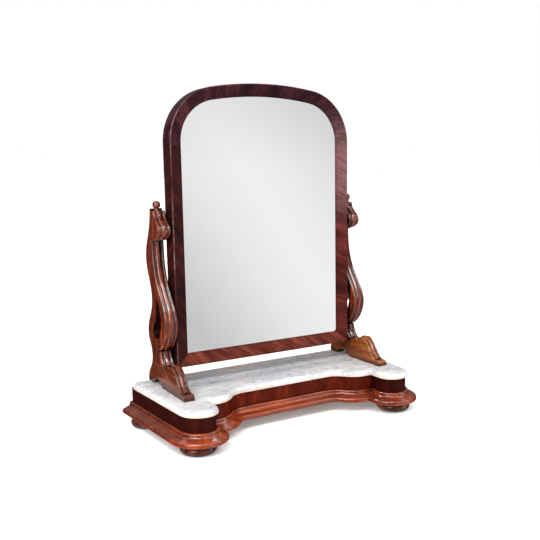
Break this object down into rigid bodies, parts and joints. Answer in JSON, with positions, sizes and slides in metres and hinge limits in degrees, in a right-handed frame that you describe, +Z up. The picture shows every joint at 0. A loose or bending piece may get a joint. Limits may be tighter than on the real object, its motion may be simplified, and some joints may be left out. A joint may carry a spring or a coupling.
{
  "type": "vanity mirror",
  "caption": "Arched mahogany-framed mirror swinging on pierced scroll uprights over a marble-topped serpentine plinth with bun feet; for a dressing table.",
  "frame": {"origin": "floor level under the middle of the plinth's bounding box", "axes": "+X to the viewer's right along the pivot axis, +Y from the front to the back, +Z up"},
  "size_m": [0.7458, 0.351, 0.863],
  "materials": {
    "frame_veneer": "polished dark red-brown mahogany veneer",
    "upright_mahogany": "polished red-brown mahogany",
    "frieze_veneer": "polished mahogany veneer with upright grain",
    "moulding_mahogany": "polished figured mahogany",
    "foot_mahogany": "dark polished mahogany",
    "inner_pine": "plain softwood",
    "brass": "aged brass",
    "steel": "dull steel",
    "leather": "plain leather",
    "marble": "polished white marble with grey veins",
    "mirror": "silvered glass"
  },
  "bodies": {
    "stand": {"upright_left": "upright_mahogany", "upright_right": "upright_mahogany", "upright_foot_left": "upright_mahogany", "upright_foot_right": "upright_mahogany", "finial_left": "upright_mahogany", "finial_right": "upright_mahogany", "frieze_left": "frieze_veneer", "frieze_centre": "frieze_veneer", "frieze_right": "frieze_veneer", "plinth_moulding_left": "moulding_mahogany", "plinth_moulding_centre": "moulding_mahogany", "plinth_moulding_right": "moulding_mahogany", "bun_foot_front_left": "foot_mahogany", "bun_foot_front_right": "foot_mahogany", "bun_foot_rear_left": "foot_mahogany", "bun_foot_rear_right": "foot_mahogany", "base_sub_top": "inner_pine", "base_back_board": "inner_pine", "base_bottom_board": "inner_pine", "corner_blocks": "inner_pine", "upright_dowels": "inner_pine", "pivot_bush_left": "brass", "pivot_bush_right": "brass", "pivot_bush_screws": "brass", "base_screws": "steel", "bracket_screws": "steel", "upright_bolts": "steel", "bolt_washers": "steel", "bolt_nuts": "steel", "friction_washer_left": "leather", "friction_washer_right": "leather", "marble_top": "marble"},
    "mirror": {"frame_top_arch": "frame_veneer", "frame_stile_left": "frame_veneer", "frame_stile_right": "frame_veneer", "frame_bottom_rail": "frame_veneer", "frame_dowels": "inner_pine", "mirror_glass": "mirror", "glass_blocks": "inner_pine", "mirror_backboard": "inner_pine", "backboard_screws": "steel", "pivot_plate_left": "brass", "pivot_plate_right": "brass", "pivot_plate_screws": "brass"}
  },
  "joints": [
    {"name": "mirror_swing", "type": "hinge", "parent": "stand", "child": "mirror", "pos_m": [0, 0.0805, 0.505], "axis": [1, 0, 0], "continuous": true}
  ]
}
